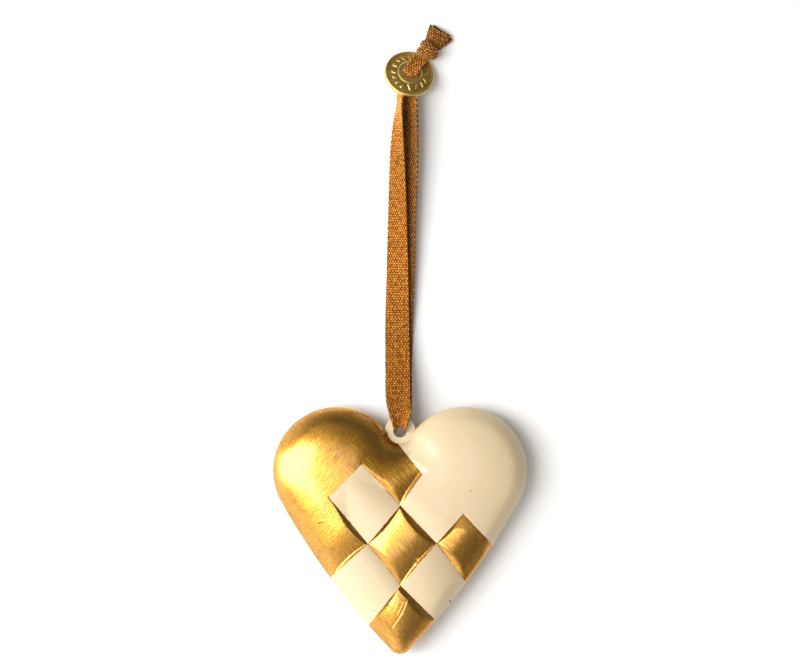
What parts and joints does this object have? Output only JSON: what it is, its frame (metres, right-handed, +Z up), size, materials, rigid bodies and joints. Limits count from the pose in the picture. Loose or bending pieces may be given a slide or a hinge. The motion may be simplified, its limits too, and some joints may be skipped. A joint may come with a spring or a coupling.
{
  "type": "heart ornament",
  "caption": "Puffed metal heart painted as a woven paper heart, with a pierced tab, a looped and knotted ribbon to hang it by and a brass disc on the ribbon.",
  "frame": {"origin": "on the table, below the middle of the heart's own box, with the heart lying on its back", "axes": "+Z up, out of the heart's front face; +Y from the heart's tip towards its tab and ribbon; +X to the right as the front face is looked at"},
  "size_m": [0.0634, 0.1574, 0.0109],
  "materials": {
    "heart_paint": "gold and cream enamel, semi-gloss",
    "ribbon_cloth": "plain woven, caramel, satin thread",
    "disc_brass": "stamped, soft shine"
  },
  "bodies": {
    "root": {"heart": "heart_paint", "ribbon": "ribbon_cloth", "disc": "disc_brass"}
  },
  "joints": []
}
